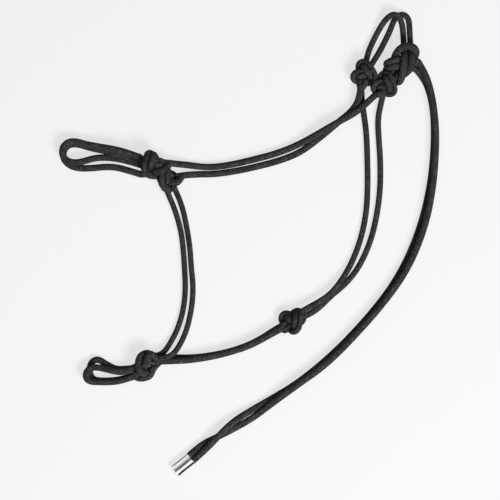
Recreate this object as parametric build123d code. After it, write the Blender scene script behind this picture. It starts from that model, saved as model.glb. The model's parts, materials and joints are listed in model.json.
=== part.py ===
"""Rope halter for a full-size horse, laid flat on its near side as it is stored.

One length of braided cord runs doubled through five knots and a crown tie, and both
ends finish in a crimped metal ferrule.  Each named length of cord and each knot is its
own solid.  Millimetres, +Z up, the halter lies on z = 0, +Y runs from the ferrule to
the crown, and the origin is under the middle of the whole outline.
"""
import os
from math import cos, radians, sin, tan

from build123d import *

# driving dimensions of the cord: the same line, pulled slimmer where it was loaded
NOSE_CORD = 7.4
JAW_CORD = 7.2
THROAT_CORD = 6.6
CHIN_CORD = 6.2
BEND_SHARE = 0.45       # share of the shorter run that each bend may take up
STRAIGHT_TURN = 0.05    # degrees: a turn smaller than this is no bend at all

# knots lie on the ground, apart from the near nose knot, which lies on the cords under it
KNOT_BASE = 0.0
NEAR_NOSE_BASE = 8.2
WRAP_OVERLAP = 1.2      # how far the two wraps of an overhand knot run into each other
WRAP_ROUNDING = 5.0

# crimped ferrule on the two cord ends
FERRULE_WIDTH = 15.8
FERRULE_HEIGHT = 10.0
FERRULE_WALL = 0.8
FERRULE_LENGTH = 24.0
FERRULE_CENTRE_Z = 5.0
FERRULE_MOUTH = (-67.0, -245.5)
FERRULE_HEADING = 219.0     # degrees from +X, from the mouth to the closed end
CORD_SEAT_DEPTH = 22.0      # how far the cord ends reach into the ferrule

# routes of the cord's centre line, with the cord's diameter
ROUTES = {
    "noseband_front_strand": (NOSE_CORD, [
        (-127, 101, 18), (-136.5, 104.5, 17.8), (-147.5, 108, 17.2), (-159, 110.5, 15.4),
        (-170.5, 112.5, 12.4), (-187.5, 115.5, 11.2), (-198.5, 119, 11.2), (-208.5, 118.5, 11.2),
        (-215, 111.5, 11.2), (-214.5, 101.5, 11.2), (-207, 95, 11.2), (-195, 94.5, 11.2),
        (-176.5, 100.5, 9), (-159, 100.5, 4), (-142.5, 97.5, 3.8), (-127.5, 93, 3.8),
    ]),
    "noseband_back_strand": (NOSE_CORD, [
        (-127, 96.5, 11), (-136.5, 100, 10.8), (-147, 103, 10.8), (-158, 106.5, 9),
        (-170.5, 109, 4.4), (-185.5, 112.5, 3.8), (-196.5, 116, 3.8), (-207, 116, 3.8),
        (-214, 109.5, 3.8), (-214.5, 99.5, 3.8), (-207.5, 91.5, 3.8), (-196, 88, 3.8),
        (-180, 88.5, 3.8), (-166, 90, 3.8), (-153.5, 89.5, 3.8), (-140, 86, 3.8), (-127, 82, 3.8),
    ]),
    "near_cheek_strand": (NOSE_CORD, [
        (-102.5, 95, 16), (-87.5, 93.5, 9), (-70.5, 92, 4), (-47.5, 89, 3.8), (-22, 92, 3.8),
        (5.5, 98.5, 3.8), (30.5, 105, 3.8), (53.5, 114, 4.2), (73.5, 124.5, 9.8),
        (90.5, 134.5, 11.6), (105.5, 143, 11.6), (120.5, 151, 11.6), (134, 162, 11.8),
        (146.5, 174, 12),
    ]),
    "far_cheek_strand": (NOSE_CORD, [
        (-85.5, 78.5, 8), (-74, 80.5, 5), (-58, 81.5, 3.8), (-40.5, 81.5, 3.8),
        (-15.5, 85, 3.8), (10, 90.5, 3.8), (36.5, 97.5, 3.8), (58.5, 106.5, 3.8),
        (75.5, 119, 3.8), (91.5, 132, 3.8), (105.5, 144, 3.8), (118, 154, 4.8),
        (127, 168, 10.8), (128, 183.5, 11.6),
    ]),
    "near_chin_strand": (CHIN_CORD, [
        (-94.5, 63, 9.6), (-92.5, 56.5, 5.6), (-88.2, 47, 3.4), (-83.4, 33.5, 3.2),
        (-78.4, 15, 3.2), (-75.9, -6, 3.2), (-74.4, -28.5, 3.2), (-73.4, -51.5, 3.2),
        (-75.9, -75, 3.2), (-82.4, -97, 3.2), (-90.5, -112, 3.4), (-96, -121, 6.6),
        (-102, -126, 9.8), (-109.5, -127.5, 11),
    ]),
    "far_chin_strand": (CHIN_CORD, [
        (-87.5, 69.5, 8), (-85, 62.5, 5.6), (-80.6, 53, 3.4), (-75.9, 39, 3.2),
        (-71.9, 19.5, 3.2), (-68.4, -2.5, 3.2), (-66.9, -25.5, 3.2), (-64.4, -49.5, 3.2),
        (-66.4, -73.5, 3.2), (-71.9, -97.5, 3.2), (-79, -113.5, 4), (-85.5, -123.5, 10.2),
        (-93, -128.5, 15.4), (-101.5, -130, 17.2), (-109, -130, 17),
    ]),
    "jaw_strand_upper": (JAW_CORD, [
        (-108, -129.5, 3.8), (-93.5, -129, 3.8), (-74, -130.1, 3.8), (-54.5, -128.8, 3.8),
        (-35, -125.6, 3.8), (-16.5, -121, 3.8), (1, -114.5, 3.8), (16, -106.5, 3.8),
        (29.5, -97.5, 4.2), (40, -91.5, 6),
    ]),
    "jaw_strand_lower": (JAW_CORD, [
        (-108, -134, 10.6), (-93.5, -133.5, 10.4), (-74, -132.8, 10.8), (-54.5, -130.4, 11),
        (-35, -126.6, 11.2), (-16.5, -121.5, 11.2), (1, -115.5, 11.2), (17, -107, 11.2),
        (30.5, -99.5, 11.6), (40.5, -94.5, 13),
    ]),
    "far_throat_strand": (THROAT_CORD, [
        (59, -77, 12), (67.5, -72, 10.8), (79, -66, 10.4), (93, -57, 10.4), (105.5, -42, 7.6),
        (118, -21, 3.6), (129, 7.5, 3.4), (135, 38, 3.4), (136.5, 68, 3.4), (136, 100, 3.4),
        (135, 129, 3.4), (132, 150.5, 3.4), (129.5, 167, 3.4), (129, 183, 4.4),
    ]),
    "near_throat_strand": (THROAT_CORD, [
        (59, -84, 5.4), (68.5, -80.5, 3.4), (81, -72, 3.4), (94, -58.5, 3.4), (111, -45, 3.4),
        (126.5, -25.5, 3.4), (139.5, 3, 3.4), (147, 33.5, 3.4), (151, 65.5, 3.4),
        (151, 97.5, 3.4), (149, 124, 3.4), (148, 145, 3.6), (151, 161, 6), (154, 173.5, 9),
    ]),
    "crown_strand_left": (THROAT_CORD, [
        (178, 229, 4.4), (177.5, 237.5, 4), (177, 246.5, 4.8), (175.5, 255, 7.8),
        (172, 263, 10.8), (164.5, 265.5, 11.2), (156, 258.5, 8.4), (148.5, 246.5, 3.8),
        (141.5, 232.5, 3.4), (136, 219.5, 5), (133.5, 207, 8.6),
    ]),
    "crown_strand_right": (THROAT_CORD, [
        (185.5, 229, 4), (185, 239.5, 3.6), (184.5, 250.5, 3.4), (183.5, 261.5, 3.4),
        (176, 266.5, 3.4), (167.5, 261.5, 3.4), (162.5, 247.5, 3.4), (155, 232, 3.6),
        (147.5, 218, 6), (139.5, 206, 12),
    ]),
    "tie_loop": (THROAT_CORD, [
        (157.5, 190.5, 12), (161, 199, 12), (165, 208, 13.5), (167.5, 217.5, 16),
        (172.5, 225.5, 18.6), (181, 228, 19.2), (189.5, 226, 18.6), (193.5, 218.5, 15),
        (190, 210, 10.5), (182.5, 202.5, 8), (173, 194.5, 7.6), (162.5, 186.5, 7.4),
    ]),
    "tail_strand_outer": (NOSE_CORD, [
        (195, 208.5, 11.2), (200.5, 199.5, 11.4), (205.5, 187.5, 11.6), (209.5, 172, 11.6),
        (212.5, 154, 11.6), (214.5, 131, 11.6), (214, 101, 11.6), (211, 65.5, 11.6),
        (202.5, 22, 11.6), (183.5, -25.5, 11.6), (155.9, -65.3, 11.6), (116.8, -109.2, 11.6),
        (86.6, -138.7, 11.6), (56.3, -160, 11.6), (29.5, -179.5, 10.4), (4.5, -199, 4.2),
        (-17.5, -211.5, 3.8), (-39.5, -222.5, 3.8), (-55.5, -230, 3.8), (-69.5, -242.7, 4.8),
    ]),
    "tail_strand_inner": (NOSE_CORD, [
        (193.5, 200.5, 4.4), (199, 194, 3.8), (204.5, 184.5, 3.8), (208.5, 172.5, 3.8),
        (211.5, 157.5, 3.8), (213, 137, 3.8), (212.5, 106, 3.8), (208.5, 68, 3.8),
        (198, 23, 3.8), (179.5, -23, 3.8), (153.9, -63.3, 3.8), (114.3, -108.2, 3.8),
        (82.1, -138.2, 3.8), (52.8, -161, 3.8), (27.5, -176, 3.8), (3, -190, 4),
        (-18.5, -203, 8.4), (-35, -219, 12), (-50.5, -235.5, 9.2), (-65, -248.5, 4.8),
    ]),
    "lead_loop_upper_strand": (JAW_CORD, [
        (-135.5, -142, 4), (-144, -143, 3.8), (-154, -143, 3.8), (-165.5, -137, 3.8),
        (-174.5, -131, 3.8), (-182.5, -135, 3.8), (-184.5, -146.5, 3.8), (-180, -155.5, 3.8),
        (-168, -156.5, 3.8), (-155.5, -156, 3.8), (-145, -154, 3.8), (-135.5, -151, 4),
    ]),
    "lead_loop_lower_strand": (JAW_CORD, [
        (-135.5, -142.5, 11.6), (-145, -146.5, 11.2), (-155.5, -145, 11.2),
        (-168, -141.8, 11.2), (-178.5, -140, 11.2), (-186, -143.5, 11.2), (-188.5, -151, 11.2),
        (-184, -157, 11.2), (-173, -157.5, 11.2), (-156.5, -157.5, 11.2),
        (-145.5, -155.5, 11.2), (-135.5, -152, 11.6),
    ]),
}

# doubled overhand knots: centre, heading of the standing cord in degrees, then the
# length along the cord, the width across it, the height and the base height
OVERHAND_KNOTS = {
    "near_nose_knot": ((-111.5, 91), -34, 26, 27, 22, NEAR_NOSE_BASE),
    "far_nose_knot": ((-89.5, 77), -34, 19, 21, 21, KNOT_BASE),
    "throat_knot": ((49, -88), -4, 22, 30, 23, KNOT_BASE),
    "near_crown_knot": ((154.5, 182), 40, 24, 27, 23, KNOT_BASE),
    "far_crown_knot": ((132, 195.5), 58, 24, 24, 22, KNOT_BASE),
}

# lower lobe of the near nose knot, where the chin cord leaves it
NOSE_LOBE_PLACE = (-102, 71, 7)
NOSE_LOBE_HEADING = -50
NOSE_LOBE_REACH = 12.0
NOSE_LOBE_WIDTH = 14.0
NOSE_LOBE_HEIGHT = 14.0

# the far nose knot's own cord ends, which run on under the near knot to the noseband
FAR_NOSE_TAILS = [
    [(-120.5, 91, 3.8), (-112, 87.5, 3.8), (-102, 83, 4.4), (-94, 80, 5.4)],
    [(-120.5, 80.5, 3.8), (-111, 78.5, 3.8), (-101, 77.5, 4.4), (-92, 76, 5.4)],
]

# the chin knot and the crown tie: plan outline, height and rounding of the edges
CHIN_KNOT = (
    [(-129.5, -123), (-112, -119.5), (-105, -130), (-98, -137), (-112, -153), (-122, -160.5),
     (-129, -160), (-129.5, -146), (-130, -133)],
    24.0, 4.0)
CROWN_TIE = (
    [(170, 222), (176, 233.5), (188, 233.5), (192, 222), (190, 207), (188, 200), (174.5, 185),
     (169, 187.5), (154, 199.5), (158.5, 210.5)],
    28.0, 4.0)


def bend_radii(points):
    """The largest arc that the two runs beside each inner point leave room for."""
    places = [Vector(*point) for point in points]
    radii = []
    for before, here, after in zip(places, places[1:], places[2:]):
        turn = (here - before).get_angle(after - here)
        assert turn > STRAIGHT_TURN, f"three points in line at {here}"
        shorter = min((here - before).length, (after - here).length)
        radii.append(BEND_SHARE * shorter / tan(radians(turn / 2)))
    return radii


def cord(points, diameter):
    """A round cord along straight runs joined by tangent arcs."""
    path = FilletPolyline(*points, radius=bend_radii(points))
    start = Plane(origin=path @ 0, z_dir=path % 0)
    tube = sweep(start * Circle(diameter / 2), path=path)
    return tube, path.length


def overhand_knot(centre, heading, length, width, height, base):
    """Two rounded wraps side by side, squeezed against each other."""
    wrap_length = (length + WRAP_OVERLAP) / 2
    wrap = extrude(Ellipse(width / 2, height / 2), wrap_length)
    wrap = fillet(wrap.edges(), WRAP_ROUNDING)
    pair = wrap + Pos(0, 0, wrap_length - WRAP_OVERLAP) * wrap
    lying = Plane(origin=(0, 0, 0), x_dir=(0, 1, 0), z_dir=(1, 0, 0)) * (Pos(0, 0, -length / 2) * pair)
    return Pos(*centre, base + height / 2) * Rot(0, 0, heading) * lying


def rounded_knot(outline, height, rounding):
    """A closed lump with the knot's plan outline."""
    lump = extrude(make_face(Polyline(*outline, close=True)), height)
    return fillet(lump.edges(), rounding)


def near_nose_knot():
    lobe = extrude(SlotCenterToCenter(NOSE_LOBE_REACH, NOSE_LOBE_WIDTH), NOSE_LOBE_HEIGHT)
    lobe = fillet(lobe.edges().group_by(Axis.Z)[0] + lobe.edges().group_by(Axis.Z)[-1], WRAP_ROUNDING)
    placed = Pos(*NOSE_LOBE_PLACE) * Rot(0, 0, NOSE_LOBE_HEADING) * lobe
    return overhand_knot(*OVERHAND_KNOTS["near_nose_knot"]) + placed


def far_nose_knot():
    knot = overhand_knot(*OVERHAND_KNOTS["far_nose_knot"])
    for points in FAR_NOSE_TAILS:
        knot += cord(points, NOSE_CORD)[0]
    return knot


def ferrule_place():
    """Plane at the ferrule's mouth, with +Z towards its closed end and +X across it."""
    heading = Vector(cos(radians(FERRULE_HEADING)), sin(radians(FERRULE_HEADING)), 0)
    mouth = (*FERRULE_MOUTH, FERRULE_CENTRE_Z)
    return Plane(origin=mouth, x_dir=(-heading.Y, heading.X, 0), z_dir=heading)


def ferrule():
    bore = SlotOverall(FERRULE_WIDTH - 2 * FERRULE_WALL, FERRULE_HEIGHT - 2 * FERRULE_WALL)
    sleeve = extrude(SlotOverall(FERRULE_WIDTH, FERRULE_HEIGHT), FERRULE_LENGTH)
    sleeve -= extrude(bore, CORD_SEAT_DEPTH)
    return ferrule_place() * sleeve


def rope_ends():
    bore = SlotOverall(FERRULE_WIDTH - 2 * FERRULE_WALL, FERRULE_HEIGHT - 2 * FERRULE_WALL)
    return ferrule_place() * extrude(bore, CORD_SEAT_DEPTH)


def build():
    parts = {}
    for name, (diameter, points) in ROUTES.items():
        tube, length = cord(points, diameter)
        parts[name] = tube
        section = Circle(diameter / 2).area
        radii = bend_radii(points)
        print(f"{name}: {length:.1f} mm long, volume {tube.volume / (section * length):.4f} of section x length")
        print("    radii in diameters:", " ".join(f"{radius / diameter:.1f}" for radius in radii))
    for name, sizes in OVERHAND_KNOTS.items():
        parts[name] = overhand_knot(*sizes)
    parts["near_nose_knot"] = near_nose_knot()
    parts["far_nose_knot"] = far_nose_knot()
    parts["chin_knot"] = rounded_knot(*CHIN_KNOT)
    parts["crown_tie"] = rounded_knot(*CROWN_TIE)
    parts["ferrule"] = ferrule()
    parts["rope_ends"] = rope_ends()
    return parts


os.makedirs("parts", exist_ok=True)
for node, shape in build().items():
    export_step(shape, f"parts/{node}.step")
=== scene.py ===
"""Rope halter lying flat: braided cords on their routes, real knots and a bright ferrule.

Metres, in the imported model's frame.  The cords follow their routes' NURBS lines; the
knots are drawn tight by a small chain-of-points solver, so their cords really pass over
and under each other.
"""
import json
from math import cos, pi, radians, sin

import bpy
import numpy as np
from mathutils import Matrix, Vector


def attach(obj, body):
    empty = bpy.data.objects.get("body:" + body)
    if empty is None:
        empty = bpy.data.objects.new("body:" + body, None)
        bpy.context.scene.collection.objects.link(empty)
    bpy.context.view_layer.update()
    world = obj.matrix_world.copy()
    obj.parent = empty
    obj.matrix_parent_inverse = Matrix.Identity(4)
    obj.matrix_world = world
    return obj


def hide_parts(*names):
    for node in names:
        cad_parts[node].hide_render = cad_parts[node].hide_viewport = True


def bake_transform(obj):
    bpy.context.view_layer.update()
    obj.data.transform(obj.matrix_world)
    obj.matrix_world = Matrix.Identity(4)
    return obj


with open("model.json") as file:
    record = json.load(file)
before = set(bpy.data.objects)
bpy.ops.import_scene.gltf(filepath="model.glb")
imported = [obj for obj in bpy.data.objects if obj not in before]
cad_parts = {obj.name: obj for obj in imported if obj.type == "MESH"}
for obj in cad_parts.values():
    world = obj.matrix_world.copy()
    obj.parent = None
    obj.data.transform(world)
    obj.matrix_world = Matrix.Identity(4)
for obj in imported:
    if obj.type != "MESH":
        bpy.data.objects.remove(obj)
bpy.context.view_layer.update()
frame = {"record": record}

NOSE_CORD = 0.0074
JAW_CORD = 0.0072
THROAT_CORD = 0.0066
CHIN_CORD = 0.0062

# the routes that the CAD tubes follow, as control points of each cord's NURBS line
ROUTES = {
    "noseband_front_strand": (NOSE_CORD, [
        (-0.127, 0.101, 0.018), (-0.1365, 0.1045, 0.0178), (-0.1475, 0.108, 0.0172),
        (-0.159, 0.1105, 0.0154), (-0.1705, 0.1125, 0.0124), (-0.1875, 0.1155, 0.0112),
        (-0.1985, 0.119, 0.0112), (-0.2085, 0.1185, 0.0112), (-0.215, 0.1115, 0.0112),
        (-0.2145, 0.1015, 0.0112), (-0.207, 0.095, 0.0112), (-0.195, 0.0945, 0.0112),
        (-0.1765, 0.1005, 0.009), (-0.159, 0.1005, 0.004), (-0.1425, 0.0975, 0.0038),
        (-0.1275, 0.093, 0.0038),
    ]),
    "noseband_back_strand": (NOSE_CORD, [
        (-0.127, 0.0965, 0.011), (-0.1365, 0.1, 0.0108), (-0.147, 0.103, 0.0108),
        (-0.158, 0.1065, 0.009), (-0.1705, 0.109, 0.0044), (-0.1855, 0.1125, 0.0038),
        (-0.1965, 0.116, 0.0038), (-0.207, 0.116, 0.0038), (-0.214, 0.1095, 0.0038),
        (-0.2145, 0.0995, 0.0038), (-0.2075, 0.0915, 0.0038), (-0.196, 0.088, 0.0038),
        (-0.18, 0.0885, 0.0038), (-0.166, 0.09, 0.0038), (-0.1535, 0.0895, 0.0038),
        (-0.14, 0.086, 0.0038), (-0.127, 0.082, 0.0038),
    ]),
    "near_cheek_strand": (NOSE_CORD, [
        (-0.1025, 0.095, 0.016), (-0.0875, 0.0935, 0.009), (-0.0705, 0.092, 0.004),
        (-0.0475, 0.089, 0.0038), (-0.022, 0.092, 0.0038), (0.0055, 0.0985, 0.0038),
        (0.0305, 0.105, 0.0038), (0.0535, 0.114, 0.0042), (0.0735, 0.1245, 0.0098),
        (0.0905, 0.1345, 0.0116), (0.1055, 0.143, 0.0116), (0.1205, 0.151, 0.0116),
        (0.134, 0.162, 0.0118), (0.1465, 0.174, 0.012),
    ]),
    "far_cheek_strand": (NOSE_CORD, [
        (-0.0855, 0.0785, 0.008), (-0.074, 0.0805, 0.005), (-0.058, 0.0815, 0.0038),
        (-0.0405, 0.0815, 0.0038), (-0.0155, 0.085, 0.0038), (0.01, 0.0905, 0.0038),
        (0.0365, 0.0975, 0.0038), (0.0585, 0.1065, 0.0038), (0.0755, 0.119, 0.0038),
        (0.0915, 0.132, 0.0038), (0.1055, 0.144, 0.0038), (0.118, 0.154, 0.0048),
        (0.127, 0.168, 0.0108), (0.128, 0.1835, 0.0116),
    ]),
    "near_chin_strand": (CHIN_CORD, [
        (-0.0945, 0.063, 0.0096), (-0.0925, 0.0565, 0.0056), (-0.0882, 0.047, 0.0034),
        (-0.0834, 0.0335, 0.0032), (-0.0784, 0.015, 0.0032), (-0.0759, -0.006, 0.0032),
        (-0.0744, -0.0285, 0.0032), (-0.0734, -0.0515, 0.0032), (-0.0759, -0.075, 0.0032),
        (-0.0824, -0.097, 0.0032), (-0.0905, -0.112, 0.0034), (-0.096, -0.121, 0.0066),
        (-0.102, -0.126, 0.0098), (-0.1095, -0.1275, 0.011),
    ]),
    "far_chin_strand": (CHIN_CORD, [
        (-0.0875, 0.0695, 0.008), (-0.085, 0.0625, 0.0056), (-0.0806, 0.053, 0.0034),
        (-0.0759, 0.039, 0.0032), (-0.0719, 0.0195, 0.0032), (-0.0684, -0.0025, 0.0032),
        (-0.0669, -0.0255, 0.0032), (-0.0644, -0.0495, 0.0032), (-0.0664, -0.0735, 0.0032),
        (-0.0719, -0.0975, 0.0032), (-0.079, -0.1135, 0.004), (-0.0855, -0.1235, 0.0102),
        (-0.093, -0.1285, 0.0154), (-0.1015, -0.13, 0.0172), (-0.109, -0.13, 0.017),
    ]),
    "jaw_strand_upper": (JAW_CORD, [
        (-0.108, -0.1295, 0.0038), (-0.0935, -0.129, 0.0038), (-0.074, -0.1301, 0.0038),
        (-0.0545, -0.1288, 0.0038), (-0.035, -0.1256, 0.0038), (-0.0165, -0.121, 0.0038),
        (0.001, -0.1145, 0.0038), (0.016, -0.1065, 0.0038), (0.0295, -0.0975, 0.0042),
        (0.04, -0.0915, 0.006),
    ]),
    "jaw_strand_lower": (JAW_CORD, [
        (-0.108, -0.134, 0.0106), (-0.0935, -0.1335, 0.0104), (-0.074, -0.1328, 0.0108),
        (-0.0545, -0.1304, 0.011), (-0.035, -0.1266, 0.0112), (-0.0165, -0.1215, 0.0112),
        (0.001, -0.1155, 0.0112), (0.017, -0.107, 0.0112), (0.0305, -0.0995, 0.0116),
        (0.0405, -0.0945, 0.013),
    ]),
    "far_throat_strand": (THROAT_CORD, [
        (0.059, -0.077, 0.012), (0.0675, -0.072, 0.0108), (0.079, -0.066, 0.0104),
        (0.093, -0.057, 0.0104), (0.1055, -0.042, 0.0076), (0.118, -0.021, 0.0036),
        (0.129, 0.0075, 0.0034), (0.135, 0.038, 0.0034), (0.1365, 0.068, 0.0034), (0.136, 0.1, 0.0034),
        (0.135, 0.129, 0.0034), (0.132, 0.1505, 0.0034), (0.1295, 0.167, 0.0034),
        (0.129, 0.183, 0.0044),
    ]),
    "near_throat_strand": (THROAT_CORD, [
        (0.059, -0.084, 0.0054), (0.0685, -0.0805, 0.0034), (0.081, -0.072, 0.0034),
        (0.094, -0.0585, 0.0034), (0.111, -0.045, 0.0034), (0.1265, -0.0255, 0.0034),
        (0.1395, 0.003, 0.0034), (0.147, 0.0335, 0.0034), (0.151, 0.0655, 0.0034),
        (0.151, 0.0975, 0.0034), (0.149, 0.124, 0.0034), (0.148, 0.145, 0.0036), (0.151, 0.161, 0.006),
        (0.154, 0.1735, 0.009),
    ]),
    "crown_strand_left": (THROAT_CORD, [
        (0.178, 0.229, 0.0044), (0.1775, 0.2375, 0.004), (0.177, 0.2465, 0.0048),
        (0.1755, 0.255, 0.0078), (0.172, 0.263, 0.0108), (0.1645, 0.2655, 0.0112),
        (0.156, 0.2585, 0.0084), (0.1485, 0.2465, 0.0038), (0.1415, 0.2325, 0.0034),
        (0.136, 0.2195, 0.005), (0.1335, 0.207, 0.0086),
    ]),
    "crown_strand_right": (THROAT_CORD, [
        (0.1855, 0.229, 0.004), (0.185, 0.2395, 0.0036), (0.1845, 0.2505, 0.0034),
        (0.1835, 0.2615, 0.0034), (0.176, 0.2665, 0.0034), (0.1675, 0.2615, 0.0034),
        (0.1625, 0.2475, 0.0034), (0.155, 0.232, 0.0036), (0.1475, 0.218, 0.006),
        (0.1395, 0.206, 0.012),
    ]),
    "tie_loop": (THROAT_CORD, [
        (0.1575, 0.1905, 0.012), (0.161, 0.199, 0.012), (0.165, 0.208, 0.0135),
        (0.1675, 0.2175, 0.016), (0.1725, 0.2255, 0.0186), (0.181, 0.228, 0.0192),
        (0.1895, 0.226, 0.0186), (0.1935, 0.2185, 0.015), (0.19, 0.21, 0.0105),
        (0.1825, 0.2025, 0.008), (0.173, 0.1945, 0.0076), (0.1625, 0.1865, 0.0074),
    ]),
    "tail_strand_outer": (NOSE_CORD, [
        (0.195, 0.2085, 0.0112), (0.2005, 0.1995, 0.0114), (0.2055, 0.1875, 0.0116),
        (0.2095, 0.172, 0.0116), (0.2125, 0.154, 0.0116), (0.2145, 0.131, 0.0116),
        (0.214, 0.101, 0.0116), (0.211, 0.0655, 0.0116), (0.2025, 0.022, 0.0116),
        (0.1835, -0.0255, 0.0116), (0.1559, -0.0653, 0.0116), (0.1168, -0.1092, 0.0116),
        (0.0866, -0.1387, 0.0116), (0.0563, -0.16, 0.0116), (0.0295, -0.1795, 0.0104),
        (0.0045, -0.199, 0.0042), (-0.0175, -0.2115, 0.0038), (-0.0395, -0.2225, 0.0038),
        (-0.0555, -0.23, 0.0038), (-0.0695, -0.2427, 0.0048),
    ]),
    "tail_strand_inner": (NOSE_CORD, [
        (0.1935, 0.2005, 0.0044), (0.199, 0.194, 0.0038), (0.2045, 0.1845, 0.0038),
        (0.2085, 0.1725, 0.0038), (0.2115, 0.1575, 0.0038), (0.213, 0.137, 0.0038),
        (0.2125, 0.106, 0.0038), (0.2085, 0.068, 0.0038), (0.198, 0.023, 0.0038),
        (0.1795, -0.023, 0.0038), (0.1539, -0.0633, 0.0038), (0.1143, -0.1082, 0.0038),
        (0.0821, -0.1382, 0.0038), (0.0528, -0.161, 0.0038), (0.0275, -0.176, 0.0038),
        (0.003, -0.19, 0.004), (-0.0185, -0.203, 0.0084), (-0.035, -0.219, 0.012),
        (-0.0505, -0.2355, 0.0092), (-0.065, -0.2485, 0.0048),
    ]),
    "lead_loop_upper_strand": (JAW_CORD, [
        (-0.1355, -0.142, 0.004), (-0.144, -0.143, 0.0038), (-0.154, -0.143, 0.0038),
        (-0.1655, -0.137, 0.0038), (-0.1745, -0.131, 0.0038), (-0.1825, -0.135, 0.0038),
        (-0.1845, -0.1465, 0.0038), (-0.18, -0.1555, 0.0038), (-0.168, -0.1565, 0.0038),
        (-0.1555, -0.156, 0.0038), (-0.145, -0.154, 0.0038), (-0.1355, -0.151, 0.004),
    ]),
    "lead_loop_lower_strand": (JAW_CORD, [
        (-0.1355, -0.1425, 0.0116), (-0.145, -0.1465, 0.0112), (-0.1555, -0.145, 0.0112),
        (-0.168, -0.1418, 0.0112), (-0.1785, -0.14, 0.0112), (-0.186, -0.1435, 0.0112),
        (-0.1885, -0.151, 0.0112), (-0.184, -0.157, 0.0112), (-0.173, -0.1575, 0.0112),
        (-0.1565, -0.1575, 0.0112), (-0.1455, -0.1555, 0.0112), (-0.1355, -0.152, 0.0116),
    ]),
}

# ---------------------------------------------------------------- camera
VIEW_CENTRE = (0.0008, -0.0058)
VIEW_WIDTH = 0.575
CAMERA_HEIGHT = 2.6
SENSOR_WIDTH = 36.0
CORD_LEVEL = 0.008


def add_camera():
    data = bpy.data.cameras.new("top_camera")
    data.sensor_width = SENSOR_WIDTH
    data.lens = SENSOR_WIDTH * (CAMERA_HEIGHT - CORD_LEVEL) / VIEW_WIDTH
    data.clip_end = 20
    camera = bpy.data.objects.new("top_camera", data)
    bpy.context.scene.collection.objects.link(camera)
    camera.location = (*VIEW_CENTRE, CAMERA_HEIGHT)
    bpy.context.scene.camera = camera


# ---------------------------------------------------------------- lines
def route_line(points):
    """The smooth NURBS line through a route's control points, as closely spaced points."""
    data = bpy.data.curves.new("route", "CURVE")
    data.dimensions = "3D"
    data.resolution_u = 24
    spline = data.splines.new("NURBS")
    spline.points.add(len(points) - 1)
    for control, place in zip(spline.points, points):
        control.co = (*place, 1.0)
    spline.order_u = 3
    spline.use_endpoint_u = True
    holder = bpy.data.objects.new("route", data)
    bpy.context.scene.collection.objects.link(holder)
    bpy.context.view_layer.update()
    seen = holder.evaluated_get(bpy.context.evaluated_depsgraph_get())
    mesh = bpy.data.meshes.new_from_object(seen)
    line = np.array([vertex.co[:] for vertex in mesh.vertices])
    bpy.data.meshes.remove(mesh)
    bpy.data.objects.remove(holder)
    bpy.data.curves.remove(data)
    return line


def line_length(line):
    return float(np.linalg.norm(np.diff(line, axis=0), axis=1).sum())


def resample(line, count):
    """The same line as count evenly spaced points."""
    line = np.asarray(line, float)
    along = np.concatenate([[0], np.cumsum(np.linalg.norm(np.diff(line, axis=0), axis=1))])
    places = np.linspace(0, along[-1], count)
    return np.stack([np.interp(places, along, line[:, axis]) for axis in range(3)], axis=1)


def soft_line(points, count):
    """A uniform cubic B-spline line near given points, starting and ending on them."""
    points = np.asarray(points, float)
    points = np.vstack([2 * points[0] - points[1], points, 2 * points[-1] - points[-2]])
    spans = len(points) - 3
    rows = []
    for place in np.linspace(0, spans, 8 * spans, endpoint=False):
        start = int(place)
        u = place - start
        weights = np.array([
            (1 - u) ** 3,
            3 * u ** 3 - 6 * u ** 2 + 4,
            -3 * u ** 3 + 3 * u ** 2 + 3 * u + 1,
            u ** 3,
        ])
        rows.append(weights @ points[start:start + 4] / 6)
    rows.append(points[-2])
    return resample(rows, count)


# ---------------------------------------------------------------- braided cord mesh
RING_STEP = 0.0008
OVERLAP = 1.04          # a knot's cord is a little thicker than the cord that ends inside it
END_SHARE = 0.9         # and its own end is a little thinner, so that it hides inside that cord
CREASE_SHADE_REACH = 0.0014        # how far from another cord a surface still gets painted crease shade
SWELL = 0.008           # length over which a cord thickens as it enters a knot
SIDES = 32
OWN_TURN = 2.2          # diameters along a cord within which it can't crease against itself
CREASE_SHADE_RELIEF = 0.1    # share of the braid's height that the colour still sees in a crease, so the crease gets painted shade
MEAN_HEIGHT = 0.75      # the braid's mean height, as a share of a yarn's
CARRIERS = 11            # yarns winding each way
BRAID_PITCH = 0.031     # length of cord in one turn of a yarn
YARN_RISE = 0.00030
CROSSING_RISE = 0.00014


def braid_height(along, around):
    """Height of a plain braid above its core: two families of round yarns, over one under one."""
    first = CARRIERS * (around + along / BRAID_PITCH)
    second = CARRIERS * (around - along / BRAID_PITCH)

    def family(own, other, sign):
        nearest = np.round(own)
        offset = np.clip(2 * (own - nearest), -1, 1)
        return YARN_RISE * np.sqrt(1 - offset ** 2) + sign * CROSSING_RISE * np.cos(pi * (other + nearest))

    return np.maximum(family(first, second, 1), family(second, first, -1))


def cord_frames(line):
    """Two directions across the line at each point, carried along it without twist."""
    slopes = np.gradient(line, axis=0)
    slopes /= np.linalg.norm(slopes, axis=1)[:, None]
    side = np.cross(slopes[0], (0.0, 0.0, 1.0))
    if np.linalg.norm(side) < 0.1:
        side = np.cross(slopes[0], (0.0, 1.0, 0.0))
    sides = []
    for slope in slopes:
        side = side - slope * (side @ slope)
        side = side / np.linalg.norm(side)
        sides.append(side)
    sides = np.array(sides)
    return sides, np.cross(slopes, sides)


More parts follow.
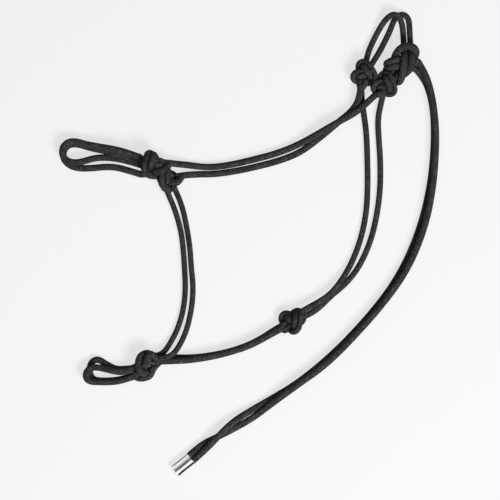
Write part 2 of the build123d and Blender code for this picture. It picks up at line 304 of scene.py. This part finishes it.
def crease_shade_mask(corners, line, diameter, others):
    """How open each surface point is: 0 where it lies against another cord or turn, 1 in the clear; it masks
    the painted shade in the creases between cords.
    """
    gap = np.full(len(corners), 1.0)
    here = np.repeat(np.linspace(0, line_length(line), len(line)), SIDES)
    for other, thickness, own in others:
        there = np.linspace(0, line_length(other), len(other))
        for start in range(0, len(corners), 2048):
            part = slice(start, start + 2048)
            far = np.linalg.norm(corners[part, None] - other[None], axis=2) - thickness / 2
            if own:
                far[np.abs(here[part, None] - there[None]) < OWN_TURN * diameter] = 1.0
            gap[part] = np.minimum(gap[part], far.min(axis=1))
    return np.clip(gap / CREASE_SHADE_REACH, 0, 1)


def swelling(distance, join, diameter):
    """Diameter of a knot's cord at a distance from its end, where it slips over the cord it carries on."""
    size, inside = join
    return np.interp(distance, [0, inside, inside + SWELL], [END_SHARE * size, OVERLAP * size, diameter])


def cord_mesh(name, lines, diameters, materials, ends=None):
    """One mesh of one or more braided cords, with UVs that run along and round each cord.

    ends gives, for both ends of each cord, the diameter of the cord that it carries on
    and how far it runs inside that one.
    """
    corners = []
    faces = []
    uvs = []
    heights = []
    total = 0
    joins = ends or [((diameter, 0), (diameter, 0)) for diameter in diameters]
    for line, diameter, (start_join, end_join) in zip(lines, diameters, joins):
        rings = max(8, int(line_length(line) / RING_STEP))
        line = resample(line, rings)
        sides, ups = cord_frames(line)
        along = np.linspace(0, line_length(line), rings)[:, None]
        around = (np.arange(SIDES) / SIDES)[None, :]
        height = braid_height(along, around)
        level = YARN_RISE * MEAN_HEIGHT
        remaining = along[-1, 0] - along
        swell = np.minimum(swelling(along, start_join, diameter), swelling(remaining, end_join, diameter))
        if not ends:
            swell[:] = diameter
        radius = swell / 2 + height - level
        angle = 2 * pi * around
        ring = line[:, None] + radius[..., None] * (
            np.cos(angle)[..., None] * sides[:, None] + np.sin(angle)[..., None] * ups[:, None])
        corners.append(ring.reshape(-1, 3))
        # painted shade: where a cord lies against another, the relief that the colour reads is cut down,
        # darkening the crease
        clear = 1.0
        if ends:
            own = lines[len(corners) - 1]
            others = [(other[::3], size, other is own) for other, size in zip(lines, diameters)]
            clear = crease_shade_mask(corners[-1], line, diameter, others)
        heights.append(height.reshape(-1) * (CREASE_SHADE_RELIEF + (1 - CREASE_SHADE_RELIEF) * clear))
        low = np.arange(rings - 1)[:, None] * SIDES
        step = np.arange(SIDES)[None, :]
        after = (step + 1) % SIDES
        quads = np.stack([low + step, low + after, low + SIDES + after, low + SIDES + step], axis=-1)
        faces.append((quads.reshape(-1, 4) + total).tolist())
        near = np.broadcast_to(along[:-1], (rings - 1, SIDES))
        far = np.broadcast_to(along[1:], (rings - 1, SIDES))
        left = np.broadcast_to(around, (rings - 1, SIDES))
        right = left + 1 / SIDES
        turn = [np.stack(pair, -1) for pair in ((near, left), (near, right), (far, right), (far, left))]
        uvs.append(np.stack(turn, axis=2).reshape(-1, 2))
        final = total + (rings - 1) * SIDES
        caps = [list(range(total, total + SIDES))[::-1], list(range(final, final + SIDES))]
        faces.append(caps)
        uvs.append(np.zeros((2 * SIDES, 2)))
        total += rings * SIDES
    mesh = bpy.data.meshes.new(name)
    mesh.from_pydata(np.vstack(corners).tolist(), [], [face for group in faces for face in group])
    layer = mesh.uv_layers.new(name="Cord")
    layer.data.foreach_set("uv", np.vstack(uvs).astype(np.float32).ravel())
    # the relief attribute carries painted shade in the grooves and creases and painted highlight on the yarn
    # crowns into the colour
    relief = mesh.attributes.new("relief", "FLOAT", "POINT")
    share = np.concatenate(heights) / (YARN_RISE + CROSSING_RISE)
    relief.data.foreach_set("value", share.astype(np.float32))
    mesh.polygons.foreach_set("use_smooth", [True] * len(mesh.polygons))
    mesh.update()
    mesh.validate()
    piece = bpy.data.objects.new(name, mesh)
    bpy.context.scene.collection.objects.link(piece)
    for material in materials:
        mesh.materials.append(material)
    return piece


# ---------------------------------------------------------------- knot solver
SOLVER_ROUNDS = 3
NEIGHBOUR_SPAN = 1.75   # diameters along a cord within which it can't touch itself


def settle(cords, radius, steps, lengths, held, floor=0.0, ceiling=1.0, gap=1.0, ease=0.06):
    """Cords as chains of points that keep their spacing, push each other apart and draw to length."""
    sizes = [len(cord) for cord in cords]
    owner = np.repeat(np.arange(len(cords)), sizes)
    index = np.concatenate([np.arange(size) for size in sizes])
    place = np.vstack(cords).astype(float)
    last = np.array(sizes)[owner] - 1
    held = np.array(held)
    pinned = (index < held[owner, 0]) | (index > last - held[owner, 1])
    home = place[pinned].copy()
    first = np.nonzero(owner[1:] == owner[:-1])[0]
    rest = np.linalg.norm(place[first + 1] - place[first], axis=1)
    goal = np.array(lengths) / np.bincount(owner[first], rest)
    inner = np.nonzero((index > 0) & (index < last))[0]
    one, two = np.nonzero(np.triu(np.ones((len(place), len(place)), bool), 1))
    same = owner[one] == owner[two]
    apart = np.abs(index[one] - index[two])
    halves = [(first[first % 2 == parity], first % 2 == parity) for parity in (0, 1)]
    reach = 2 * radius * gap
    for step in range(steps):
        part = min(1.0, (step + 1) / (0.8 * steps))
        want = rest * (1 + (goal - 1) * part)[owner[first]]
        place[inner] += ease * (0.5 * (place[inner - 1] + place[inner + 1]) - place[inner])
        live = ~(same & (apart * want.mean() < NEIGHBOUR_SPAN * 2 * radius))
        for _ in range(SOLVER_ROUNDS):
            for start, chosen in halves:
                span = place[start + 1] - place[start]
                size = np.linalg.norm(span, axis=1)
                move = (0.5 * (size - want[chosen]) / np.maximum(size, 1e-9))[:, None] * span
                place[start] += move
                place[start + 1] -= move
            span = place[one] - place[two]
            size = np.sqrt((span ** 2).sum(1)) + 1e-9
            hit = live & (size < reach)
            i, j = one[hit], two[hit]
            push = (0.5 * (reach - size[hit]) / size[hit])[:, None] * span[hit]
            total = np.zeros_like(place)
            count = np.zeros(len(place))
            np.add.at(total, i, push)
            np.add.at(total, j, -push)
            np.add.at(count, i, 1)
            np.add.at(count, j, 1)
            place += total / np.maximum(1, count * 0.5)[:, None]
            place[:, 2] = np.clip(place[:, 2], floor + radius, ceiling - radius)
            place[pinned] = home
    return np.split(place, np.cumsum(sizes)[:-1])


KNOT_CORD = 0.0072      # a cord pulled hard into a knot spreads
PACKING = 0.82          # how close drawn-tight cords lie, as a share of their thickness
KNOT_CORE = 0.0130      # how far along X the tight knot's own turns reach


def tight_overhand():
    """Two cords side by side through one overhand knot, drawn tight along X about the origin."""
    size = 1.5 * KNOT_CORD
    reach = 0.046
    turn = np.linspace(-2.08, 2.08, 160)
    line = np.stack([turn ** 3 - 3 * turn, turn ** 4 - 4 * turn ** 2 + 1.3], axis=1) * size
    crossings = [-2.08, -1.93, -1.73, -0.52, 0.52, 1.73, 1.93, 2.08]
    levels = np.interp(turn, crossings, [-0.6, -1, 1, -1, 1, -1, 1, 0.6])
    line = np.column_stack([line, levels * 0.8 * KNOT_CORD])
    slope = np.gradient(line, axis=0)
    across = np.stack([-slope[:, 1], slope[:, 0], np.zeros(len(turn))], axis=1)
    across /= np.linalg.norm(across, axis=1)[:, None]
    pair = []
    for side in (0.54, -0.54):
        bend = (line + side * KNOT_CORD * across)[::8]
        start = [(-reach, side * KNOT_CORD, 0), (-0.8 * reach, side * KNOT_CORD, 0)]
        end = [(0.8 * reach, side * KNOT_CORD, 0), (reach, side * KNOT_CORD, 0)]
        pair.append(soft_line(np.vstack([start, bend, end]), 64))
    drawn = 2 * reach + 0.030
    tight = settle(pair, KNOT_CORD / 2, 320, [drawn, drawn], [(3, 3), (3, 3)], floor=-1, gap=PACKING)
    middle = np.vstack([cord[16:48] for cord in tight]).mean(axis=0)
    return [cord - middle for cord in tight]


def turned(points, heading, roll, mirror):
    """Points rolled about X, mirrored top to bottom if asked, then headed round Z."""
    points = points * (1, 1, -1 if mirror else 1)
    roll, heading = radians(roll), radians(heading)
    about_x = np.array([(1, 0, 0), (0, cos(roll), -sin(roll)), (0, sin(roll), cos(roll))])
    about_z = np.array([(cos(heading), -sin(heading), 0), (sin(heading), cos(heading), 0), (0, 0, 1)])
    return points @ about_x.T @ about_z.T


OUTER_END = 0.006
INNER_END = -0.003
PAST_END = 0.010        # how far a cord is carried straight on past its own end
DEEP = (0.010, 0.004)   # outer and inner place of a cord that a knot takes over further out


def port(lines, name, end, outer=OUTER_END, inner=INNER_END):
    """The stretch of a cord that runs into a knot, from outside inwards."""
    line = lines[name] if end == "start" else lines[name][::-1]
    line = np.vstack([line[0] + (line[0] - line[3]) / line_length(line[:4]) * PAST_END, line])
    along = np.concatenate([[0], np.cumsum(np.linalg.norm(np.diff(line, axis=0), axis=1))]) - PAST_END
    places = np.linspace(outer, inner, 4)
    return np.stack([np.interp(places, along, line[:, axis]) for axis in range(3)], axis=1)


def slipped_ends(pairs):
    """For each cord, the diameter of the cord at either end and how far it runs inside it."""
    return [
        tuple((ROUTES[end[0]][0], end[2] if len(end) > 2 else OUTER_END) for end in pair)
        for pair in pairs
    ]


def knot_cord(start, middle, end, spacing=0.0027):
    """One cord through a knot, with how many points at each end are held."""
    whole = np.vstack([start, middle, end[::-1]])
    count = max(12, int(line_length(whole) / spacing))
    line = resample(whole, count)
    step = line_length(whole) / (count - 1)
    kept = [max(2, int(line_length(stretch) / step) + 1) for stretch in (start, end)]
    return line, kept


def overhand_knot(lines, tight, thickness, centre, heading, roll, mirror, ends, floor, ceiling):
    """The tight knot laid at its place, its four ends led onto the cords that it joins."""
    cords = []
    held = []
    for cord, (left, right) in zip(tight, ends):
        core = turned(cord[np.abs(cord[:, 0]) < KNOT_CORE], heading, roll, mirror)
        core = core * (thickness / KNOT_CORD) + centre
        line, kept = knot_cord(port(lines, *left), core, port(lines, *right))
        cords.append(line)
        held.append(kept)
    lengths = [line_length(cord) * 0.98 for cord in cords]
    return settle(cords, thickness / 2, 50, lengths, held, floor, ceiling, PACKING)


# knot: cord thickness, centre, heading and roll in degrees, mirrored, its cords' ends, floor, ceiling
OVERHANDS = {
    "near_nose_knot": (0.0078, (-0.1098, 0.0915, 0.0190), -52, 135, True,
                       [(("noseband_front_strand", "start"), ("near_cheek_strand", "start", 0.016, 0.011)),
                        (("noseband_back_strand", "start"), ("near_chin_strand", "start", 0.012, 0.005))],
                       0.0066, 0.033),
    "far_nose_knot": (0.0076, (-0.0945, 0.0758, 0.0110), -40, 90, True,
                      [(("noseband_front_strand", "end"), ("far_cheek_strand", "start", 0.014, 0.009)),
                       (("noseband_back_strand", "end"), ("far_chin_strand", "start", 0.012, 0.005))],
                      0.0, 0.024),
    "throat_knot": (0.0070, (0.0480, -0.0882, 0.0120), 10, 150, False,
                    [(("jaw_strand_upper", "end", *DEEP), ("near_throat_strand", "start", *DEEP)),
                     (("jaw_strand_lower", "end", *DEEP), ("far_throat_strand", "start", *DEEP))],
                    0.0, 0.026),
    "near_crown_knot": (0.0070, (0.1545, 0.1820, 0.0125), 40, 180, False,
                        [(("near_cheek_strand", "end", 0.008, 0.002), ("tie_loop", "start", 0.016, 0.010)),
                         (("near_throat_strand", "end", 0.008, 0.002), ("tie_loop", "end", 0.016, 0.010))],
                        0.0, 0.027),
    "far_crown_knot": (0.0070, (0.1320, 0.1955, 0.0115), 58, 180, False,
                       [(("far_cheek_strand", "end", *DEEP), ("crown_strand_left", "end", *DEEP)),
                        (("far_throat_strand", "end", *DEEP), ("crown_strand_right", "end", *DEEP))],
                       0.0, 0.026),
}

# the crown tie, a sheet bend: the loop of the near crown knot and the two crown cords
# that come up through it, round behind it and out under themselves as the tail
TIE_LOOP_LINE = [
    (0.1595, 0.1925, 0.010), (0.1630, 0.2010, 0.0095), (0.1665, 0.2120, 0.0105), (0.1680, 0.2205, 0.0150),
    (0.1722, 0.2268, 0.0200), (0.1822, 0.2292, 0.0222), (0.1912, 0.2262, 0.0200), (0.1935, 0.2205, 0.0150),
    (0.1900, 0.2145, 0.0100), (0.1815, 0.2060, 0.0085), (0.1725, 0.1965, 0.0085), (0.1645, 0.1870, 0.0090),
]
TIE_LEFT_LINE = [
    (0.1776, 0.2240, 0.0060), (0.1772, 0.2175, 0.0140), (0.1775, 0.2080, 0.0215), (0.1772, 0.1960, 0.0220),
    (0.1755, 0.1880, 0.0165), (0.1700, 0.1860, 0.0080), (0.1640, 0.1890, 0.0036), (0.1590, 0.1950, 0.0060),
    (0.1605, 0.2010, 0.0140), (0.1665, 0.2055, 0.0165), (0.1745, 0.2090, 0.0150), (0.1825, 0.2090, 0.0110),
    (0.1890, 0.2050, 0.0065),
]
TIE_RIGHT_LINE = [
    (0.1858, 0.2235, 0.0055), (0.1862, 0.2165, 0.0140), (0.1866, 0.2090, 0.0200), (0.1860, 0.2020, 0.0190),
    (0.1815, 0.1975, 0.0100), (0.1720, 0.1960, 0.0036), (0.1620, 0.1985, 0.0036), (0.1555, 0.2020, 0.0070),
    (0.1570, 0.2075, 0.0140), (0.1640, 0.2125, 0.0165), (0.1735, 0.2165, 0.0150), (0.1840, 0.2160, 0.0130),
    (0.1910, 0.2125, 0.0118),
]

# the chin knot: each cord's line between the cords that it joins
CHIN_LINES = [
    (("far_chin_strand", "end", 0.008, 0.001),
     [(-0.1125, -0.1230, 0.0200), (-0.1152, -0.1265, 0.0220), (-0.1172, -0.1330, 0.0220),
      (-0.1205, -0.1400, 0.0200), (-0.1240, -0.1450, 0.0120)],
     ("lead_loop_lower_strand", "end")),
    (("jaw_strand_lower", "start", 0.008, 0.001),
     [(-0.1150, -0.1350, 0.0120), (-0.1220, -0.1370, 0.0110), (-0.1290, -0.1390, 0.0120)],
     ("lead_loop_lower_strand", "start")),
    (("near_chin_strand", "end", 0.008, 0.001),
     [(-0.1155, -0.1240, 0.0130), (-0.1210, -0.1245, 0.0165), (-0.1265, -0.1285, 0.0180),
      (-0.1275, -0.1365, 0.0180), (-0.1255, -0.1435, 0.0190), (-0.1200, -0.1480, 0.0185),
      (-0.1150, -0.1455, 0.0110), (-0.1190, -0.1415, 0.0045)],
     ("lead_loop_upper_strand", "start")),
    (("jaw_strand_upper", "start", 0.017, 0.011),
     [(-0.1020, -0.1330, 0.0050), (-0.1085, -0.1360, 0.0095), (-0.1128, -0.1410, 0.0130),
      (-0.1155, -0.1475, 0.0135), (-0.1200, -0.1530, 0.0120), (-0.1270, -0.1550, 0.0080),
      (-0.1325, -0.1500, 0.0050)],
     ("lead_loop_upper_strand", "end")),
]


def tie_cords(lines):
    """The loop and the two crown cords in the crown tie, pushed clear of each other."""
    cords = []
    held = []
    loop = soft_line(TIE_LOOP_LINE, 60)
    cords.append(loop)
    held.append((4, 4))
    for points, crown, tail in ((TIE_LEFT_LINE, "crown_strand_left", "tail_strand_inner"),
                                (TIE_RIGHT_LINE, "crown_strand_right", "tail_strand_outer")):
        start = port(lines, crown, "start", 0.008, 0.002)
        end = port(lines, tail, "start")
        bend = soft_line(np.vstack([start[-1:], points, end[-1:]]), 60)
        line, kept = knot_cord(start, bend[1:-1], end)
        cords.append(line)
        held.append(kept)
    lengths = [line_length(cord) * 0.97 for cord in cords]
    return settle(cords, THROAT_CORD / 2, 80, lengths, held, 0.0008, 0.0285, 0.88)


def chin_cords(lines):
    """The four cords of the chin knot, pushed clear of each other."""
    cords = []
    held = []
    for first, points, second in CHIN_LINES:
        start, end = port(lines, *first), port(lines, *second)
        bend = soft_line(np.vstack([start[-1:], points, end[-1:]]), 60)
        line, kept = knot_cord(start, bend[1:-1], end)
        cords.append(line)
        held.append(kept)
    lengths = [line_length(cord) for cord in cords]
    return settle(cords, JAW_CORD / 2, 60, lengths, held, 0.0009, 0.026, 0.86)


def smooth_cord(line):
    """A fine line through a solver chain, with the chain's corners rounded away."""
    return soft_line(line, max(40, int(line_length(line) / RING_STEP)))


# ---------------------------------------------------------------- materials
def node_material(name):
    material = bpy.data.materials.new(name)
    material.use_nodes = True
    tree = material.node_tree
    return material, tree, tree.nodes["Principled BSDF"]


def add(tree, kind, inputs=(), **settings):
    """A new node with its settings and its inputs, each a value or another node's output."""
    node = tree.nodes.new(kind)
    for key, value in settings.items():
        setattr(node, key, value)
    for socket, value in inputs:
        if isinstance(value, bpy.types.NodeSocket):
            tree.links.new(value, node.inputs[socket])
        else:
            node.inputs[socket].default_value = value
    return node


def colour_ramp(tree, factor, stops):
    ramp = add(tree, "ShaderNodeValToRGB", [("Fac", factor)])
    elements = ramp.color_ramp.elements
    while len(elements) < len(stops):
        elements.new(0.5)
    for element, (position, colour) in zip(elements, stops):
        element.position = position
        element.color = (*colour, 1.0)
    return ramp.outputs["Color"]


def map_range(tree, value, source, target):
    """The value carried from one range onto another, held at both ends."""
    inputs = [("Value", value), (1, source[0]), (2, source[1]), (3, target[0]), (4, target[1])]
    return add(tree, "ShaderNodeMapRange", inputs).outputs[0]


def mix_colour(tree, inputs, **settings):
    return add(tree, "ShaderNodeMix", inputs, data_type="RGBA", **settings)


def bump_onto(tree, shader, height, strength, distance):
    bump = add(tree, "ShaderNodeBump", [("Height", height), ("Strength", strength), ("Distance", distance)])
    tree.links.new(bump.outputs[0], shader.inputs["Normal"])


def braid_material(name, groove_shade, yarn, fleck_glint, flecks):
    """Matt polyester braid: grooves darkened by painted shade, yarn crowns paled by painted highlight and a
    scatter of bright filaments as painted glints.
    """
    material, tree, shader = node_material(name)
    relief = add(tree, "ShaderNodeAttribute", attribute_name="relief").outputs["Fac"]
    uv = add(tree, "ShaderNodeUVMap", uv_map="Cord").outputs["UV"]
    place = add(tree, "ShaderNodeTexCoord").outputs["Object"]
    # painted shade and highlight: the colour follows the relief, dark in the braid's grooves and creases,
    # paler towards the yarn crowns
    base = colour_ramp(tree, relief, [(0.30, groove_shade), (0.72, yarn), (1.0, fleck_glint)])
    grain = add(tree, "ShaderNodeTexNoise", [("Vector", place), ("Scale", 620.0), ("Detail", 3.0)])
    patch = add(tree, "ShaderNodeTexNoise", [("Vector", place), ("Scale", 90.0), ("Detail", 2.0)])
    # painted glints: bright filament specks scattered at random
    glint_spots = map_range(tree, grain.outputs["Fac"], (0.52, 0.64), (0.0, flecks))
    worn = map_range(tree, patch.outputs["Fac"], (0.35, 0.65), (0.85, 1.15))
    speckled = mix_colour(tree, [(0, glint_spots), (6, base), (7, (*fleck_glint, 1.0))])
    shade = mix_colour(tree, [(0, 1.0), (6, speckled.outputs[2])], blend_type="MULTIPLY")
    # random yarn tone from twisting, partly painted filament glints, multiplied with the random worn patches
    cell = add(tree, "ShaderNodeTexVoronoi", [("Vector", place), ("Scale", 650.0)]).outputs["Color"]
    twist_and_glint = map_range(tree, cell, (0.0, 1.0), (0.55, 1.45))
    wear_and_glint = add(tree, "ShaderNodeMath", [(0, worn), (1, twist_and_glint)], operation="MULTIPLY")
    tree.links.new(wear_and_glint.outputs[0], shade.inputs[7])
    tree.links.new(shade.outputs[2], shader.inputs["Base Color"])
    stretch = add(tree, "ShaderNodeMapping", [("Vector", uv), ("Scale", (900.0, 70.0, 1.0))])
    fibre = add(tree, "ShaderNodeTexNoise", [("Vector", stretch.outputs[0]), ("Scale", 1.0), ("Detail", 2.0)])
    bump_onto(tree, shader, fibre.outputs["Fac"], 0.5, 0.0002)
    tree.links.new(map_range(tree, relief, (0.2, 1.0), (0.9, 0.7)), shader.inputs["Roughness"])
    shader.inputs["Specular IOR Level"].default_value = 0.04
    return material


def chrome_material():
    """Bright plated steel with fine lengthwise polishing lines and a few dull patches."""
    material, tree, shader = node_material("bright_ferrule")
    uv = add(tree, "ShaderNodeUVMap", uv_map="Sleeve").outputs["UV"]
    place = add(tree, "ShaderNodeTexCoord").outputs["Object"]
    lines = add(tree, "ShaderNodeMapping", [("Vector", uv), ("Scale", (1.5, 60.0, 1.0))])
    polish = add(tree, "ShaderNodeTexNoise", [("Vector", lines.outputs[0]), ("Scale", 1.0), ("Detail", 2.0)])
    dull = add(tree, "ShaderNodeTexNoise", [("Vector", place), ("Scale", 240.0), ("Detail", 3.0)])
    rough = map_range(tree, dull.outputs["Fac"], (0.35, 0.75), (0.06, 0.16))
    tree.links.new(rough, shader.inputs["Roughness"])
    bump_onto(tree, shader, polish.outputs["Fac"], 0.25, 0.0001)
    tint = colour_ramp(tree, dull.outputs["Fac"], [(0.3, (0.66, 0.66, 0.68)), (0.7, (0.82, 0.82, 0.83))])
    tree.links.new(tint, shader.inputs["Base Color"])
    shader.inputs["Metallic"].default_value = 1.0
    return material


def cut_cord_material():
    """Heat-sealed cord ends: dark, slightly shiny, with the yarn ends still visible."""
    material, tree, shader = node_material("cut_cord")
    place = add(tree, "ShaderNodeTexCoord").outputs["Object"]
    yarns = add(tree, "ShaderNodeTexVoronoi", [("Vector", place), ("Scale", 900.0)])
    stops = [(0.0, (0.05, 0.05, 0.052)), (0.6, (0.015, 0.015, 0.016))]
    tree.links.new(colour_ramp(tree, yarns.outputs["Distance"], stops), shader.inputs["Base Color"])
    bump_onto(tree, shader, yarns.outputs["Distance"], 0.5, 0.0004)
    shader.inputs["Roughness"].default_value = 0.55
    return material


# ---------------------------------------------------------------- ferrule
FERRULE_WIDTH = 0.0158
FERRULE_HEIGHT = 0.0100
FERRULE_LENGTH = 0.0240
FERRULE_MOUTH = (-0.0670, -0.2455, 0.0050)
FERRULE_HEADING = 219.0
FERRULE_SIDES = 64
# stations from the mouth to the closed end: distance along and growth of the outline
FERRULE_OUTSIDE = [
    (0.0000, -0.0002), (0.0003, 0.0000), (0.0030, -0.0001), (0.0060, -0.0001),
    (0.0120, -0.0002), (0.0180, -0.0001), (0.0228, 0.0000), (0.0236, -0.0002), (0.0240, -0.0007),
    (0.0239, -0.0014), (0.0232, -0.0016),
]
FERRULE_INSIDE = [(0.0003, -0.0005), (0.0040, -0.0005), (0.0100, -0.0012)]


def sleeve_ring(growth):
    """Outline of the pressed sleeve: an oval squashed flat, moved in or out by growth."""
    ring = []
    for step in range(FERRULE_SIDES):
        angle = 2 * pi * (step + 0.5) / FERRULE_SIDES
        x, y = cos(angle), sin(angle)
        swell = (abs(x) ** 2.5 + abs(y) ** 2.5) ** (-1 / 2.5)
        ring.append(((FERRULE_WIDTH / 2 + growth) * x * swell, (FERRULE_HEIGHT / 2 + growth) * y * swell))
    return ring


def ferrule_point(across, up, along):
    heading = radians(FERRULE_HEADING)
    forward = (cos(heading), sin(heading))
    x = FERRULE_MOUTH[0] + forward[0] * along - forward[1] * across
    y = FERRULE_MOUTH[1] + forward[1] * along + forward[0] * across
    return x, y, FERRULE_MOUTH[2] + up


def ferrule_mesh(material):
    stations = FERRULE_INSIDE[::-1] + FERRULE_OUTSIDE
    vertices = []
    for along, growth in stations:
        vertices += [ferrule_point(across, up, along) for across, up in sleeve_ring(growth)]
    faces = []
    for row in range(len(stations) - 1):
        for step in range(FERRULE_SIDES):
            after = (step + 1) % FERRULE_SIDES
            low, high = row * FERRULE_SIDES, (row + 1) * FERRULE_SIDES
            faces.append((low + step, high + step, high + after, low + after))
    closed = (len(stations) - 1) * FERRULE_SIDES
    faces.append([closed + step for step in range(FERRULE_SIDES)])
    faces.append([step for step in range(FERRULE_SIDES)][::-1])
    mesh = bpy.data.meshes.new("ferrule_sleeve")
    mesh.from_pydata(vertices, [], faces)
    layer = mesh.uv_layers.new(name="Sleeve")
    for polygon in mesh.polygons:
        for loop in polygon.loop_indices:
            row, step = divmod(mesh.loops[loop].vertex_index, FERRULE_SIDES)
            layer.data[loop].uv = (stations[row][0] / FERRULE_LENGTH, step / FERRULE_SIDES)
    mesh.polygons.foreach_set("use_smooth", [True] * len(mesh.polygons))
    mesh.validate()
    mesh.materials.append(material)
    piece = bpy.data.objects.new("ferrule_sleeve", mesh)
    bpy.context.scene.collection.objects.link(piece)
    return piece


# ---------------------------------------------------------------- stage
FLOOR_REACH = 4.0


def add_stage():
    mesh = bpy.data.meshes.new("floor")
    corners = [(x * FLOOR_REACH, y * FLOOR_REACH, 0) for x, y in ((-1, -1), (1, -1), (1, 1), (-1, 1))]
    mesh.from_pydata(corners, [], [(0, 1, 2, 3)])
    floor = bpy.data.objects.new("floor", mesh)
    bpy.context.scene.collection.objects.link(floor)
    material, tree, shader = node_material("pale_floor")
    shader.inputs["Base Color"].default_value = (0.14, 0.14, 0.14, 1)
    shader.inputs["Emission Color"].default_value = (1, 1, 1, 1)
    shader.inputs["Emission Strength"].default_value = 0.70
    shader.inputs["Roughness"].default_value = 0.9
    mesh.materials.append(material)

    world = bpy.data.worlds.new("studio")
    bpy.context.scene.world = world
    world.use_nodes = True
    tree = world.node_tree
    background = tree.nodes["Background"]
    direction = add(tree, "ShaderNodeTexCoord").outputs["Generated"]
    along = add(tree, "ShaderNodeVectorMath", [(0, direction), (1, SOFTBOX_SIDE)], operation="DOT_PRODUCT")
    place = map_range(tree, along.outputs["Value"], (-1.0, 1.0), (0.0, 1.0))
    panels = colour_ramp(tree, place, [(stop, (level, level, level)) for stop, level in SOFTBOXES])
    shine = add(tree, "ShaderNodeLightPath").outputs["Is Glossy Ray"]
    shown = mix_colour(tree, [(0, shine), (6, (0.18, 0.18, 0.18, 1.0)), (7, panels)])
    tree.links.new(shown.outputs[2], background.inputs["Color"])
    background.inputs["Strength"].default_value = 1.0

    for name, place, size, power in LIGHTS:
        data = bpy.data.lights.new(name, "AREA")
        data.shape = "DISK"
        data.size = size
        data.energy = power
        lamp = bpy.data.objects.new(name, data)
        bpy.context.scene.collection.objects.link(lamp)
        lamp.location = place
        lamp.visible_glossy = False
        lamp.rotation_euler = Vector(place).to_track_quat("Z", "Y").to_euler()
    bpy.context.scene.view_settings.view_transform = "Standard"


# long soft boxes on the lower right and the upper left, with dark gaps between them:
# place across the studio, from upper left (0) to lower right (1), and brightness
SOFTBOX_SIDE = (0.629, -0.777, 0.0)
SOFTBOXES = [
    (0.00, 0.05), (0.06, 0.05), (0.08, 1.10), (0.37, 1.10), (0.40, 0.50), (0.46, 0.60), (0.50, 0.28),
    (0.53, 0.09), (0.56, 0.09), (0.59, 1.30), (0.80, 1.30), (0.82, 0.01), (1.00, 0.01),
]
LIGHTS = [
    ("key", (1.0, -1.25, 1.9), 1.1, 104.0),
    ("fill", (-0.5, 0.5, 2.2), 1.6, 6.0),
]

# ---------------------------------------------------------------- making
add_camera()

lines = {name: route_line(points) for name, (diameter, points) in ROUTES.items()}
# braid colours: painted shade for grooves and creases, the yarn's own tone, and a pale speck colour for
# painted highlights on yarn crowns and painted filament glints
GROOVE_SHADE = (0.0020, 0.0020, 0.0021)
YARN = (0.0085, 0.0085, 0.0088)
FLECK_GLINT = (0.070, 0.070, 0.072)
FLECK_SHARE = 0.6
rope = braid_material("noseband_cord", GROOVE_SHADE, YARN, FLECK_GLINT, FLECK_SHARE)

CHIN_THICKNESSES = [0.0091, 0.0082, 0.0088, 0.0086]
TIE_THICKNESS = 0.0084
TIE_ENDS = [
    (("tie_loop",), ("tie_loop",)),
    (("crown_strand_left",), ("tail_strand_inner",)),
    (("crown_strand_right",), ("tail_strand_outer",)),
]

# cords on these bodies are baked in place instead of attached to their body; each entry gives the body they
# ride on and two points
BENDS = {
    "noseband": ("halter", (-0.1270, 0.09, 0.01), (-0.1570, 0.09, 0.01)),
    "lead_loop": ("halter", (-0.1355, -0.147, 0.008), (-0.1560, -0.147, 0.008)),
    "tail": ("halter", (0.1945, 0.2080, 0.011), (0.2060, 0.1850, 0.011)),
}
BODY_OF = {node: body for body, nodes in frame["record"]["behaviour"]["bodies"].items() for node in nodes}

ferrule = ferrule_mesh(chrome_material())
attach(ferrule, "tail")
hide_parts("ferrule")

for name, (diameter, points) in ROUTES.items():
    if name == "tie_loop":
        continue
    line = lines[name]
    piece = cord_mesh(name.replace("_strand", "_cord"), [line], [diameter], [rope])
    body = BODY_OF[name]
    if body in BENDS:
        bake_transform(piece)
    else:
        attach(piece, body)
    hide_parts(name)

lines["tie_loop"] = soft_line(TIE_LOOP_LINE, 200)
tight = tight_overhand()
for name, (thickness, centre, heading, roll, mirror, ends, floor, ceiling) in OVERHANDS.items():
    centre = np.array(centre)
    cords = overhand_knot(lines, tight, thickness, centre, heading, roll, mirror, ends, floor, ceiling)
    smooth = [smooth_cord(cord) for cord in cords]
    piece = cord_mesh(name + "_cords", smooth, [thickness] * 2, [rope], slipped_ends(ends))
    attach(piece, "halter")
    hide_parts(name)

smooth = [smooth_cord(cord) for cord in chin_cords(lines)]
chin = cord_mesh("chin_knot_cords", smooth, CHIN_THICKNESSES, [rope],
                 slipped_ends([(first, last) for first, points, last in CHIN_LINES]))
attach(chin, "halter")
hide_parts("chin_knot")

smooth = [smooth_cord(cord) for cord in tie_cords(lines)]
tie = cord_mesh("crown_tie_cords", smooth, [TIE_THICKNESS] * 3, [rope], slipped_ends(TIE_ENDS))
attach(tie, "halter")
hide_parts("crown_tie", "tie_loop")

ends = bpy.data.objects["rope_ends"]
ends.data.materials.clear()
ends.data.materials.append(cut_cord_material())

add_stage()
